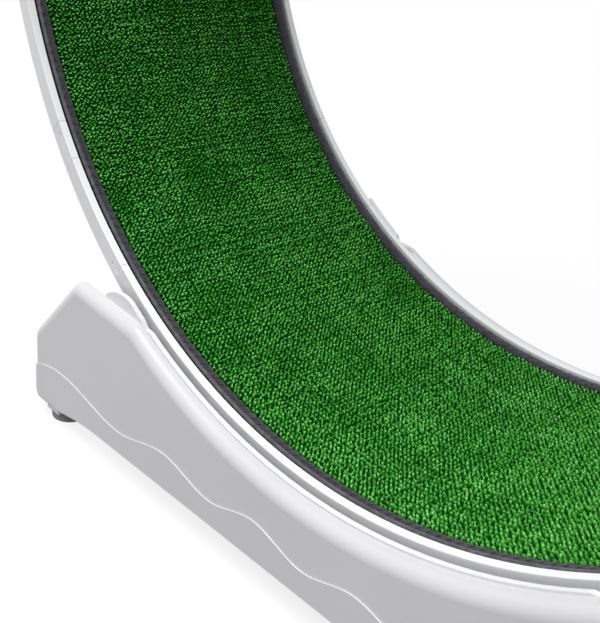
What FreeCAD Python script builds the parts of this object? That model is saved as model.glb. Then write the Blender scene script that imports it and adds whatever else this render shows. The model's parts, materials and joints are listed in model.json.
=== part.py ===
import FreeCAD, Part
import math
import os
import re
import Sketcher

# A cat exercise wheel: a hollow running wheel, open on both sides, that turns on four
# rollers held between the two shells of a low stand. Millimetres, +Z up, +X along the
# stand, the wheel's axis along Y. The origin lies on the floor under the wheel's middle.

Vector = FreeCAD.Vector
doc = FreeCAD.newDocument("cat_exercise_wheel")
sheet = doc.addObject("Spreadsheet::Sheet", "Sizes")

SIZES = {
    # wheel: running mat and its edges
    "axis_height": 544.0,
    "mat_radius": 440.0,
    "mat_half_width": 148.0,
    "mat_thickness": 7.0,
    "binding_width": 11.0,
    "mat_edge_gap": 2.0,
    "strip_width": 25.0,
    "strip_thickness": 0.8,
    "strip_spacing": 100.0,
    # wheel: curved panels under the mat
    "panel_count": 6,
    "panel_thickness": 4.0,
    "band_inner": 114.0,
    "band_width": 24.0,
    "band_height": 6.0,
    "rib_spacing": 40.0,
    "rib_thickness": 3.0,
    "rib_height": 4.0,
    "flange_half_width": 104.0,
    "flange_thickness": 4.0,
    "flange_height": 11.0,
    "panel_bolt_radius": 2.5,
    "panel_bolt_offset": 60.0,
    "panel_bolt_rise": 6.5,
    "panel_bolt_head": 3.0,
    "panel_turn": 12.0,
    # wheel: rims, in segments
    "lip_width": 7.0,
    "rim_depth": 28.5,
    "rim_setback": 5.0,
    "rim_web": 3.5,
    "rim_wall": 3.0,
    "rim_flange": 6.0,
    "ledge_width": 9.0,
    "ledge_thickness": 3.0,
    "rim_edge_round": 1.5,
    "lip_edge_round": 0.8,
    "joint_start": 216.3,
    "closing_angle": 15.0,
    "short_angle": 42.0,
    "long_count": 5,
    "joint_gap_angle": 0.05,
    "slot_depth": 2.0,
    "slot_height": 3.4,
    "long_slot_angle": 3.9,
    "long_slot_radius": 448.5,
    "short_slot_angle": 2.8,
    "short_slot_radius": 450.0,
    "closing_slot_angle": 1.8,
    "closing_slot_radius": 455.0,
    "groove_angle": 4.9,
    "groove_width_angle": 0.09,
    "groove_depth": 0.5,
    "joiner_half_angle": 3.0,
    "joiner_thickness": 3.0,
    "joiner_screw_radius": 1.5,
    "joiner_screw_angle": 1.8,
    # stand: outline, as drops below the axis and reaches from the middle
    "peak_drop": 371.0,
    "dip_drop": 409.0,
    "chamfer_run": 95.7,
    "shoulder_drop": 450.0,
    "shoulder_reach": 425.7,
    "base_drop": 533.7,
    "end_lean": 13.0,
    "arch_drop": 518.5,
    "arch_flat": 300.0,
    "arch_radius": 400.0,
    # stand: shells, in depths from the middle
    "liner_start": 161.0,
    "liner_thickness": 4.4,
    "shell_start": 165.6,
    "shell_depth": 13.9,
    "shell_wall": 3.0,
    "shell_round": 11.0,
    "hollow_round": 8.0,
    "hollow_corner_round": 11.0,
    "corner_round": 14.0,
    "peak_round": 25.0,
    "well_radius": 445.5,
    "liner_radius": 444.0,
    "cheek_radius": 47.3,
    "front_cheek_reach": 264.0,
    "front_cheek_drop": 413.0,
    "rear_cheek_reach": 287.0,
    "rear_cheek_drop": 388.0,
    "step_depth": 1.2,
    "wave_end_drop": 503.0,
    "wave_crest_drop": 483.5,
    "wave_trough_drop": 496.0,
    "wave_crest_reach": 334.0,
    "wave_step": 83.5,
    "wave_shrink": 0.88,
    "boss_radius": 5.0,
    "casing_screw_radius": 1.5,
    "screw_head_radius": 3.6,
    "screw_head_height": 2.2,
    "casing_screw_shank": 11.0,
    # stand: rollers and what carries them
    "roller_angle": 35.0,
    "roller_radius": 20.0,
    "roller_width": 20.0,
    "roller_gap": 0.3,
    "tyre_thickness": 5.0,
    "tyre_round": 1.5,
    "bearing_radius": 11.0,
    "bearing_width": 7.0,
    "axle_radius": 4.0,
    "axle_fit": 0.05,
    "spacer_radius": 6.0,
    "clip_radius": 7.5,
    "clip_thickness": 1.5,
    "bracket_start": 106.0,
    "bracket_thickness": 5.0,
    "bracket_radius": 13.0,
    "bracket_half_width": 22.0,
    "bracket_foot": 18.0,
    "bracket_foot_thickness": 4.0,
    "bracket_shoulder": 12.0,
    "gusset_thickness": 4.0,
    "gusset_height": 24.0,
    "bracket_screw_head": 2.0,
    "bracket_bolt_offset": 13.0,
    # stand: cross beams
    "beam_inner": 244.0,
    "beam_width": 60.0,
    "beam_top_drop": 446.0,
    "beam_height": 50.0,
    "beam_wall": 3.0,
    "beam_end": 4.0,
    "beam_bolt_radius": 3.0,
    "beam_bolt_reach": 18.0,
    "beam_bolt_drop": 20.0,
    "bolt_head_radius": 5.0,
    "bolt_head_height": 4.0,
    "bolt_nut_height": 5.0,
    # stand: feet
    "foot_radius": 22.0,
    "foot_inset": 28.0,
    "foot_depth": 154.0,
    "foot_height": 10.2,
    "foot_round": 2.5,
    "foot_block_width": 24.0,
    "foot_block_height": 16.0,
    "foot_screw_radius": 2.0,
    "foot_screw_head": 5.0,
    "foot_screw_head_height": 3.0,
    "foot_screw_recess": 5.0,
    "foot_screw_shank": 10.0,
    # clearances
    "fit_gap": 0.1,
    "screw_gap": 0.05,
}

FORMULAS = {
    "strip_radius": "mat_radius + mat_thickness + fit_gap",
    "track_radius": "strip_radius + strip_thickness + fit_gap",
    "track_back": "track_radius + panel_thickness",
    "band_back": "track_back + band_height",
    "ledge_radius": "track_back + fit_gap",
    "ledge_back": "ledge_radius + ledge_thickness",
    "binding_start": "mat_half_width - binding_width",
    "lip_start": "mat_half_width + mat_edge_gap",
    "lip_ridge": "lip_start + lip_width",
    "rim_radius": "mat_radius + rim_depth",
    "rim_corner": "lip_ridge - rim_setback",
    "rim_inner": "rim_radius - rim_wall",
    "flange_end": "rim_corner - rim_flange",
    "face_slope": "rim_setback / rim_depth",
    "long_angle": "(360 - closing_angle - short_angle) / long_count",
    "panel_angle": "360 / panel_count",
    "joiner_low": "ledge_back + 1.2",
    "joiner_high": "rim_inner - 1.2",
    "joiner_middle": "(joiner_low + joiner_high) / 2",
    "liner_end": "liner_start + liner_thickness",
    "shell_end": "shell_start + shell_depth",
    "shell_inside": "shell_end - step_depth - shell_wall",
    "peak_reach": "shoulder_reach - chamfer_run",
    "base_reach": "shoulder_reach + end_lean",
    "foot_reach": "shoulder_reach - foot_inset",
    "top_slope": "atan((dip_drop - peak_drop) / peak_reach)",
    "chamfer_slope": "atan((shoulder_drop - peak_drop) / chamfer_run)",
    "end_slope": "atan(end_lean / (base_drop - shoulder_drop))",
    "casing_screw_tip": "liner_start + screw_head_height + casing_screw_shank",
    "foot_block_start": "foot_depth - foot_block_width / 2",
    "axle_radius_out": "band_back + roller_gap + roller_radius",
    "axle_reach": "axle_radius_out * sin(roller_angle)",
    "axle_drop": "axle_radius_out * cos(roller_angle)",
    "roller_start": "band_inner + (band_width - roller_width) / 2",
    "roller_middle": "roller_start + roller_width / 2",
    "hub_radius": "roller_radius - tyre_thickness",
    "bracket_end": "bracket_start + bracket_thickness",
    "beam_middle": "beam_inner + beam_width / 2",
    "beam_bottom_drop": "beam_top_drop + beam_height",
}


def bound(text):
    """The sheet expression for a formula written in the sizes' own names."""
    def cell(match):
        word = match.group()
        if word in FORMULAS:
            return "(" + bound(FORMULAS[word]) + ")"
        return "Sizes." + word if word in SIZES else word
    return re.sub(r"[a-z][a-z_]*", cell, text)


for row, (alias, amount) in enumerate(SIZES.items(), start=1):
    sheet.set(f"A{row}", alias.replace("_", " "))
    sheet.set(f"B{row}", str(amount))
    sheet.setAlias(f"B{row}", alias)
doc.recompute()


def size(alias):
    return float(sheet.get(alias))


def count(alias):
    return int(round(size(alias)))


def bind(thing, **formulas):
    """Binds properties to formulas; two underscores stand for a dot."""
    for key, formula in formulas.items():
        thing.setExpression(key.replace("__", "."), bound(str(formula)))
    return thing


def place(thing, x="0", y="0", z="0"):
    return bind(thing, Placement__Base__x=x, Placement__Base__y=y, Placement__Base__z=z)


def drop(formula):
    """A height, from a drop below the wheel's axis."""
    return f"axis_height - ({formula})"


# ---- building blocks ----------------------------------------------------------------

START_RING = 100.0      # a sketch's corners start on this ring, before their formulas move them


def draw_polygon(sketch, corners):
    """Draws a closed polygon whose corners are pairs of formulas."""
    total = len(corners)
    turns = [2 * math.pi * i / total for i in range(total)]
    ring = [Vector(START_RING * math.cos(turn), START_RING * math.sin(turn), 0) for turn in turns]
    for i in range(total):
        sketch.addGeometry(Part.LineSegment(ring[i], ring[(i + 1) % total]), False)
    for i in range(total):
        sketch.addConstraint(Sketcher.Constraint("Coincident", i, 2, (i + 1) % total, 1))
    for i, pair in enumerate(corners):
        for kind, formula in zip(("DistanceX", "DistanceY"), pair):
            index = sketch.addConstraint(Sketcher.Constraint(kind, -1, 1, i, 1, 1.0))
            sketch.setExpression(f"Constraints[{index}]", bound(formula))
    return sketch


def polygon(name, corners, rotation):
    sketch = draw_polygon(doc.addObject("Sketcher::SketchObject", name), corners)
    sketch.Placement = FreeCAD.Placement(Vector(0, 0, 0), rotation)
    return sketch


ACROSS = FreeCAD.Rotation(Vector(1, 1, 1), 120)     # sketch X, Y become depth and height
UPRIGHT = FreeCAD.Rotation(Vector(1, 0, 0), 90)     # sketch X, Y become X and height


def section(name, corners, side=-1):
    """A wheel section: pairs of depth and radius, on the front (-1) or rear (+1) side."""
    sign = "-" if side < 0 else ""
    return polygon(name, [(f"{sign}({depth})", radius) for depth, radius in corners], ACROSS)


def ring(name, profile, angle="360", turn="0"):
    """A wheel section turned about the wheel's axis, clockwise seen from the front."""
    solid = doc.addObject("Part::Revolution", name)
    solid.Source = profile
    solid.Axis = (0, 1, 0)
    solid.Base = (0, 0, 0)
    solid.Solid = True
    solid.Placement = FreeCAD.Placement(Vector(0, 0, 0), FreeCAD.Rotation(Vector(0, 1, 0), 1))
    return bind(solid, Angle=angle, Placement__Rotation__Angle=turn)


def plate(name, profile, start, end, side=-1):
    """An upright outline made solid between two depths on one side of the stand."""
    solid = doc.addObject("Part::Extrusion", name)
    solid.Base = profile
    solid.DirMode = "Custom"
    solid.Dir = (0, side, 0)
    solid.Solid = True
    sign = "-" if side < 0 else ""
    bind(solid, LengthFwd=f"{end} - ({start})")
    return place(solid, y=f"{sign}({start})")


TURNS = {"x": FreeCAD.Rotation(Vector(0, 1, 0), 90),
         "y": FreeCAD.Rotation(Vector(1, 0, 0), -90),
         "z": FreeCAD.Rotation()}


def rod(name, radius, length, x="0", y="0", z="0", along="y"):
    """A cylinder that starts at a point and runs along an axis."""
    solid = doc.addObject("Part::Cylinder", name)
    solid.Placement = FreeCAD.Placement(Vector(0, 0, 0), TURNS[along])
    bind(solid, Radius=radius, Height=length)
    return place(solid, x, y, z)


def block(name, lengths, x, y, z):
    solid = doc.addObject("Part::Box", name)
    bind(solid, Length=lengths[0], Width=lengths[1], Height=lengths[2])
    return place(solid, x, y, z)


def join(name, pieces):
    if len(pieces) == 1:
        return pieces[0]
    solid = doc.addObject("Part::MultiFuse", name)
    solid.Shapes = pieces
    return solid


def group(name, pieces):
    """Separate solids kept together."""
    bundle = doc.addObject("Part::Compound", name)
    bundle.Links = pieces
    return bundle


def cut(name, base, tools):
    solid = doc.addObject("Part::Cut", name)
    solid.Base = base
    solid.Tool = join(name + "_tools", tools)
    return solid


def common(name, pieces):
    solid = doc.addObject("Part::MultiCommon", name)
    solid.Shapes = pieces
    return solid


def rounded(name, base, radius, wanted):
    """Rounds the edges that a test picks."""
    doc.recompute()
    solid = doc.addObject("Part::Fillet", name)
    solid.Base = base
    picked = [i for i, edge in enumerate(base.Shape.Edges, start=1) if wanted(edge)]
    solid.Edges = [(i, size(radius), size(radius)) for i in picked]
    return solid


def mirrored(name, source, normal):
    solid = doc.addObject("Part::Mirroring", name)
    solid.Source = source
    solid.Normal = normal
    return solid


def ring_hole(edge, radius, depth):
    """True for a circular edge about the wheel's axis at a radius and depth."""
    curve = edge.Curve
    if curve.TypeId != "Part::GeomCircle":
        return False
    return abs(curve.Radius - radius) < 0.01 and abs(abs(curve.Center.y) - depth) < 0.01


PARTS = {}


def keep(name, thing):
    thing.Label = name
    PARTS[name] = thing
    return thing


def on_axis(thing):
    """Lifts a wheel piece from the drawing's axis to the wheel's real axis."""
    return place(thing, z="axis_height")


# ---- wheel: mat ---------------------------------------------------------------------

def make_mat():
    inner = "mat_radius"
    outer = "mat_radius + mat_thickness"
    start = "binding_start"
    mat = section("mat_section", [(f"-({start})", inner), (start, inner),
                                  (start, outer), (f"-({start})", outer)])
    keep("carpet_mat", on_axis(ring("mat_ring", mat)))
    for side, name in ((-1, "front"), (1, "rear")):
        edge = section(f"{name}_binding_section",
                       [(f"{start} + 3 * fit_gap", inner), ("mat_half_width", inner),
                        ("mat_half_width", outer), (f"{start} + 3 * fit_gap", outer)], side)
        keep(f"{name}_binding_tape", on_axis(ring(f"{name}_binding_ring", edge)))
    strips = []
    for index in (-1, 0, 1):
        middle = f"{index} * strip_spacing"
        low, high = f"{middle} - strip_width / 2", f"{middle} + strip_width / 2"
        strip = section(f"strip_section_{index + 2}",
                        [(low, "strip_radius"), (high, "strip_radius"),
                         (high, "strip_radius + strip_thickness"), (low, "strip_radius + strip_thickness")])
        strips.append(ring(f"strip_ring_{index + 2}", strip))
    keep("mat_fastening_strips", on_axis(group("strip_rings", strips)))


# ---- wheel: curved panels -----------------------------------------------------------

def panel_corners():
    """The panel's section: a plate with two running bands and circumferential ribs."""
    edge = "lip_start - 3 * fit_gap"
    corners = [(f"-({edge})", "track_radius"), (edge, "track_radius"), (edge, "track_back")]
    steps = [("band_inner + band_width", "band_inner", "band_back")]
    for rib in (2, 1, 0, -1, -2):
        steps.append((f"{rib} * rib_spacing + rib_thickness / 2", f"{rib} * rib_spacing - rib_thickness / 2",
                      "track_back + rib_height"))
    steps.append(("-band_inner", "-(band_inner + band_width)", "band_back"))
    for first, last, top in steps:
        corners += [(first, "track_back"), (first, top), (last, top), (last, "track_back")]
    corners.append((f"-({edge})", "track_back"))
    return corners


def bolt_rods(name, radius, length, start, rise="track_back + panel_bolt_rise"):
    """Rods across a panel joint, square to its end flanges."""
    return [rod(f"{name}_{index}", radius, length, start, f"{sign}panel_bolt_offset", rise, "x")
            for index, sign in ((1, "-"), (2, ""))]


def make_panels():
    profile = section("panel_section", panel_corners())
    bolts = []
    for number in range(1, count("panel_count") + 1):
        name = f"track_panel_{number}"
        sweep = ring(name + "_sweep", profile, "panel_angle - joint_gap_angle")
        flange_size = ("flange_thickness", "2 * flange_half_width", "panel_thickness / 2 + flange_height")
        head = block(name + "_head", flange_size, "fit_gap", "-flange_half_width",
                     "track_back - panel_thickness / 2")
        tail_block = block(name + "_tail_block", flange_size, "-fit_gap - flange_thickness",
                           "-flange_half_width", "track_back - panel_thickness / 2")
        tail = group(name + "_tail", [tail_block])
        tail.Placement = FreeCAD.Placement(Vector(0, 0, 0), FreeCAD.Rotation(Vector(0, 1, 0), 1))
        bind(tail, Placement__Rotation__Angle="panel_angle")
        solid = join(name + "_solid", [sweep, head, tail])
        drills = bolt_rods(name + "_drill", "panel_bolt_radius + screw_gap", "3 * flange_thickness",
                           "-1.5 * flange_thickness")
        far = group(name + "_far_drills", bolt_rods(name + "_far", "panel_bolt_radius + screw_gap",
                                                     "3 * flange_thickness", "-1.5 * flange_thickness"))
        far.Placement = FreeCAD.Placement(Vector(0, 0, 0), FreeCAD.Rotation(Vector(0, 1, 0), 1))
        bind(far, Placement__Rotation__Angle="panel_angle")
        panel = cut(name + "_body", solid, drills + [far])
        bolt = group(f"joint_bolts_{number}", make_panel_bolts(number))
        for piece in (panel, bolt):
            piece.Placement = FreeCAD.Placement(Vector(0, 0, 0), FreeCAD.Rotation(Vector(0, 1, 0), 1))
            bind(piece, Placement__Rotation__Angle=f"panel_turn + {number - 1} * panel_angle")
            on_axis(piece)
        keep(name, panel)
        bolts.append(bolt)
    keep("panel_joint_bolts", group("panel_bolts", bolts))


def make_panel_bolts(number):
    """Two bolts with heads and nuts that draw two panels together."""
    bolts = []
    outside = "flange_thickness + fit_gap + screw_gap"
    for index, sign in ((1, "-"), (2, "")):
        y, z = f"{sign}panel_bolt_offset", "track_back + panel_bolt_rise"
        name = f"panel_bolt_{number}_{index}"
        start = f"-({outside}) - panel_bolt_head"
        length = f"2 * ({outside} + panel_bolt_head)"
        shank = rod(name + "_shank", "panel_bolt_radius", length, start, y, z, "x")
        head = rod(name + "_head", "1.7 * panel_bolt_radius", "panel_bolt_head", start, y, z, "x")
        nut = rod(name + "_nut", "1.6 * panel_bolt_radius", "0.9 * panel_bolt_head", outside, y, z, "x")
        bolts.append(join(name, [shank, head, nut]))
    return bolts


# ---- wheel: rims --------------------------------------------------------------------

def face_depth(radius, inset="0"):
    """The depth of the rim's tilted face at a radius, less an inset."""
    return f"lip_ridge - face_slope * (({radius}) - mat_radius) - ({inset})"


def rim_corners():
    return [("lip_start", "mat_radius"), ("lip_ridge", "mat_radius"), ("rim_corner", "rim_radius"),
            ("flange_end", "rim_radius"), ("flange_end", "rim_inner"),
            (face_depth("rim_inner", "rim_web"), "rim_inner"),
            (face_depth("ledge_back", "rim_web"), "ledge_back"),
            ("lip_start - ledge_width", "ledge_back"), ("lip_start - ledge_width", "ledge_radius"),
            ("lip_start", "ledge_radius")]


def slot_section(name, radius, side):
    """The shallow slot in the rim's face where a joiner clip hooks in."""
    low, high = f"{radius} - slot_height / 2", f"{radius} + slot_height / 2"
    return section(name, [(face_depth(radius, "slot_depth"), low), ("lip_ridge + 1", low),
                          ("lip_ridge + 1", high), (face_depth(radius, "slot_depth"), high)], side)


def groove_section(name, side):
    """A fine line across the lip and the face."""
    inset = "groove_depth"
    return section(name, [("lip_start - 1", "mat_radius - 1"), ("lip_ridge + 1", "mat_radius - 1"),
                          ("lip_ridge + 1", "rim_radius + 1"),
                          (face_depth("rim_radius + 1", inset), "rim_radius + 1"),
                          (face_depth("mat_radius + groove_depth", inset), "mat_radius + groove_depth"),
                          ("lip_start - 1", "mat_radius + groove_depth")], side)


def rim_spans():
    """Each rim piece: name, where it starts, its span and the kind of joint at its end."""
    spans = [("closing_piece", "joint_start", "closing_angle", "closing"),
             ("segment_1", "joint_start + closing_angle", "short_angle", "short")]
    for number in range(count("long_count")):
        start = f"joint_start + closing_angle + short_angle + {number} * long_angle"
        spans.append((f"segment_{number + 2}", start, "long_angle", "long"))
    return spans


def joint_screws(name, radius, low, high, side):
    """Two rods beside a rim joint, one in each of the pieces that meet there."""
    sign = "-" if side < 0 else ""
    depth = f"({low})" if side > 0 else f"-({high})"
    rods = []
    for index, turn in ((1, "-joiner_screw_angle"), (2, "joiner_screw_angle")):
        z = f"joiner_middle * cos({turn})"
        x = f"joiner_middle * sin({turn})"
        rods.append(rod(f"{name}_{index}", radius, f"({high}) - ({low})", x, depth, z, "y"))
    return rods


def make_rims():
    joiners = []
    screws = []
    slant = "2 * joiner_screw_radius * face_slope"
    screw_low = face_depth("joiner_middle", f"rim_web + joiner_thickness + 2 * fit_gap + {slant}")
    screw_high = face_depth("joiner_middle", "rim_web / 3")
    for side, side_name in ((-1, "front"), (1, "rear")):
        profile = section(f"{side_name}_rim_section", rim_corners(), side)
        slots = {kind: slot_section(f"{side_name}_{kind}_slot_section", f"{kind}_slot_radius", side)
                 for kind in ("long", "short", "closing")}
        groove = groove_section(f"{side_name}_groove_section", side)
        joiner_profile = section(f"{side_name}_joiner_section", [
            (face_depth("joiner_low", "rim_web + fit_gap"), "joiner_low"),
            (face_depth("joiner_high", "rim_web + fit_gap"), "joiner_high"),
            (face_depth("joiner_high", "rim_web + fit_gap + joiner_thickness"), "joiner_high"),
            (face_depth("joiner_low", "rim_web + fit_gap + joiner_thickness"), "joiner_low")], side)
        for piece, start, span, kind in rim_spans():
            name = f"{side_name}_rim_{piece}"
            sweep = ring(name + "_sweep", profile, f"{span} - joint_gap_angle")
            edges = rounded(name + "_edges", sweep, "lip_edge_round", is_lip_edge)
            soft = rounded(name + "_soft", edges, "rim_edge_round", is_outer_edge)
            tools = [ring(name + "_slot", slots[kind], f"{kind}_slot_angle")]
            if kind == "long":
                tools.append(ring(name + "_groove", groove, "groove_width_angle", "groove_angle"))
            far = group(name + "_far_drills", joint_screws(name + "_far", "joiner_screw_radius + screw_gap",
                                                            screw_low, screw_high, side))
            far.Placement = FreeCAD.Placement(Vector(0, 0, 0), FreeCAD.Rotation(Vector(0, 1, 0), 1))
            bind(far, Placement__Rotation__Angle=span)
            tools += joint_screws(name + "_near", "joiner_screw_radius + screw_gap",
                                  screw_low, screw_high, side)
            body = cut(name + "_body", soft, tools + [far])
            turn = f"90 - ({start}) - ({span})"
            clip_sweep = ring(name + "_clip", joiner_profile, "2 * joiner_half_angle", "-joiner_half_angle")
            clip = cut(name + "_clip_body", clip_sweep,
                       joint_screws(name + "_clip_drill", "joiner_screw_radius + screw_gap",
                                    screw_low, screw_high, side))
            fixings = group(name + "_screws", make_joint_screws(name, screw_low, screw_high, side))
            for part in (body, clip, fixings):
                part.Placement = FreeCAD.Placement(Vector(0, 0, 0), FreeCAD.Rotation(Vector(0, 1, 0), 1))
                bind(part, Placement__Rotation__Angle=turn)
                on_axis(part)
            keep(name, body)
            joiners.append(clip)
            screws.append(fixings)
    keep("rim_joiners", group("rim_joiner_clips", joiners))
    keep("rim_joiner_screws", group("rim_screws", screws))


def make_joint_screws(name, low, high, side):
    """Small screws with flat heads on the joiner's inner side."""
    head_low = f"{low} - joiner_screw_radius"
    heads = joint_screws(name + "_head", "2 * joiner_screw_radius", head_low, low, side)
    shanks = joint_screws(name + "_shank", "joiner_screw_radius", low, f"{high} - 2 * screw_gap", side)
    return [join(f"{name}_screw_{index}", [head, shank])
            for index, (head, shank) in enumerate(zip(heads, shanks), start=1)]


def is_lip_edge(edge):
    ridge = size("mat_half_width") + size("mat_edge_gap") + size("lip_width")
    return ring_hole(edge, size("mat_radius"), ridge)


def is_outer_edge(edge):
    corner = (size("mat_half_width") + size("mat_edge_gap") + size("lip_width") - size("rim_setback"))
    return ring_hole(edge, size("mat_radius") + size("rim_depth"), corner)


# ---- stand: the two casings ---------------------------------------------------------

def stand_outline(name, grow):
    """The stand's outline, grown outwards by a length; the well and the arch are cut later."""
    bend = "(1 + cos(chamfer_slope + top_slope))"
    peak_x = f"peak_reach + ({grow}) * (sin(chamfer_slope) - sin(top_slope)) / {bend}"
    peak_z = f"peak_drop - ({grow}) * (cos(chamfer_slope) + cos(top_slope)) / {bend}"
    lean = "(1 + sin(chamfer_slope + end_slope))"
    side_x = f"shoulder_reach + ({grow}) * (sin(chamfer_slope) + cos(end_slope)) / {lean}"
    side_z = f"shoulder_drop - ({grow}) * (cos(chamfer_slope) + sin(end_slope)) / {lean}"
    base_x = f"base_reach + ({grow}) / cos(end_slope)"
    right = [(peak_x, peak_z), (side_x, side_z), (base_x, "base_drop")]
    left = [(f"-({x})", z) for x, z in reversed(right)]
    dip = ("0", f"dip_drop - ({grow}) / cos(top_slope)")
    return polygon(name, [(x, drop(z)) for x, z in right + left + [dip]], UPRIGHT)


def arch_tools(name, lift):
    """The low arch under the stand: flat in the middle, falling gently to both ends."""
    start, length = "-shell_end - 10", "2 * shell_end + 20"
    centre = drop(f"arch_drop - ({lift}) + arch_radius")
    discs = [rod(f"{name}_{side}", "arch_radius", length, f"{sign}arch_flat", start, centre)
             for side, sign in (("left", "-"), ("right", ""))]
    middle = block(f"{name}_middle", ("2 * arch_flat", length, "base_drop"),
                   "-arch_flat", start, drop(f"arch_drop - ({lift}) + base_drop"))
    return discs + [middle]


def wheel_well(name, radius):
    return rod(name, radius, "2 * shell_end + 20", "0", "-shell_end - 10", "axis_height")


def face_edges(depth, floor_drop):
    """Picks the edges of a casing's outer face above the arch."""
    height = size("axis_height") - size(floor_drop)

    def wanted(edge):
        box = edge.BoundBox
        flat = abs(box.YMin + depth) < 0.01 and abs(box.YMax + depth) < 0.01
        return flat and box.ZMax > height
    return wanted


def through_edge(edge):
    """True for an edge that runs straight through a casing's depth."""
    box = edge.BoundBox
    return box.YLength > size("liner_thickness") / 2 and box.XLength < 0.01 and box.ZLength < 0.01


def near_peak(edge):
    reach = size("shoulder_reach") - size("chamfer_run")
    return abs(abs(edge.BoundBox.XMin) - reach) < size("peak_round") / 2


def peak_edges(edge):
    high = edge.BoundBox.ZMin > size("axis_height") - size("shoulder_drop")
    return through_edge(edge) and near_peak(edge) and high


def corner_edges(edge):
    """Picks the shoulders, the ends of the base and the corners where the well begins."""
    box = edge.BoundBox
    outer = abs(box.XMin) > size("shoulder_reach") - size("shell_depth")
    high = box.ZMin > size("axis_height") - size("shoulder_drop")
    return through_edge(edge) and (outer or high) and not near_peak(edge)


def casing_block(name, grow, wall, face, corner="corner_round"):
    """A solid casing with rounded corners, open to the wheel and arched below."""
    outline = stand_outline(name + "_outline", grow)
    raw = plate(name + "_raw", outline, "shell_start", face)
    opened = cut(name + "_open", raw, [wheel_well(name + "_well", f"well_radius + ({wall})")]
                 + arch_tools(name + "_arch", wall))
    peaks = rounded(name + "_peaks", opened, "peak_round", peak_edges)
    return rounded(name + "_corners", peaks, corner, corner_edges)


def wave_points():
    """Crests and troughs of the traditional wave line, mirrored about the middle."""
    crest, trough = size("wave_crest_drop"), size("wave_trough_drop")
    reach, step = size("wave_crest_reach"), size("wave_step")
    beyond = size("shoulder_reach") + 2 * size("end_lean")
    right = [(beyond, size("wave_end_drop"))]
    level = crest
    while reach > step / 2:
        right.append((reach, level))
        reach -= step
        step *= size("wave_shrink")
        level = trough if level == crest else crest
    right.append((0.0, level))
    left = [(-x, z) for x, z in reversed(right[:-1])]
    return [Vector(x, 0, size("axis_height") - z) for x, z in right + left]


def below_wave(name):
    """The region under the wave line, through the whole depth."""
    curve = Part.BSplineCurve()
    points = wave_points()
    curve.interpolate(points)
    low = size("axis_height") - size("base_drop") - 20
    corners = [points[-1], Vector(points[-1].x, 0, low), Vector(points[0].x, 0, low), points[0]]
    wire = Part.Wire([curve.toShape(), Part.makePolygon(corners)])
    depth = size("shell_start") + size("shell_depth")
    region = Part.Face(wire).extrude(Vector(0, -2 * depth, 0))
    solid = doc.addObject("Part::Feature", name)
    solid.Shape = region
    return solid


def boss_places():
    """Reach and drop of the screws that hold a casing together."""
    shares = ((0.42, 0.93), (0.76, 0.80), (1.14, 0.91))
    return [("0", "(liner_radius + arch_drop) / 2")] + [
        (f"{sign}{across} * (peak_reach)", f"{down} * arch_drop")
        for sign in ("-", "") for across, down in shares]


def make_casing():
    step = "step_depth"
    upper = casing_block("front_upper", "0", "0", f"shell_end - {step}")
    upper_soft = rounded("front_upper_soft", upper, "shell_round",
                         face_edges(size("shell_start") + size("shell_depth") - size(step), "arch_drop"))
    lower = casing_block("front_lower", step, "0", "shell_end")
    lower_soft = rounded("front_lower_soft", lower, "shell_round",
                         face_edges(size("shell_start") + size("shell_depth"), "arch_drop"))
    plinth = common("front_plinth", [lower_soft, below_wave("below_wave")])
    hollow = casing_block("front_hollow", "-shell_wall", "shell_wall", "shell_inside", "hollow_corner_round")
    inside = size("shell_start") + size("shell_depth") - size(step) - size("shell_wall")
    hollow_soft = rounded("front_hollow_soft", hollow, "hollow_round", face_edges(inside, "arch_drop"))
    shell = cut("front_shell", join("front_filled", [upper_soft, plinth]), [hollow_soft])
    bosses = []
    drills = []
    root = "shell_inside + shell_wall / 2"
    for index, (x, z) in enumerate(boss_places()):
        height = drop(z)
        bosses.append(rod(f"casing_boss_{index}", "boss_radius", f"{root} - shell_start - shell_wall / 2",
                          x, f"-({root})", height))
        drills.append(rod(f"casing_drill_{index}", "casing_screw_radius + screw_gap", "casing_screw_shank",
                          x, "-(casing_screw_tip + 1)", height))
    for index, sign in enumerate(("-", "")):
        reach = f"{sign}(foot_reach)"
        bosses.append(block(f"foot_block_{index}",
                            ("foot_block_width", f"{root} - (foot_block_start)", "foot_block_height"),
                            f"{reach} - foot_block_width / 2", f"-({root})", "foot_height"))
        drills.append(rod(f"foot_drill_{index}", "foot_screw_radius + screw_gap", "foot_screw_shank",
                          reach, "-foot_depth", "foot_height - 1", "z"))
    panel = cut("front_panel", join("front_shell_and_bosses", [shell] + bosses), drills)
    keep("front_stand_panel", panel)
    keep("rear_stand_panel", mirrored("rear_panel", panel, (0, 1, 0)))


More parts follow.
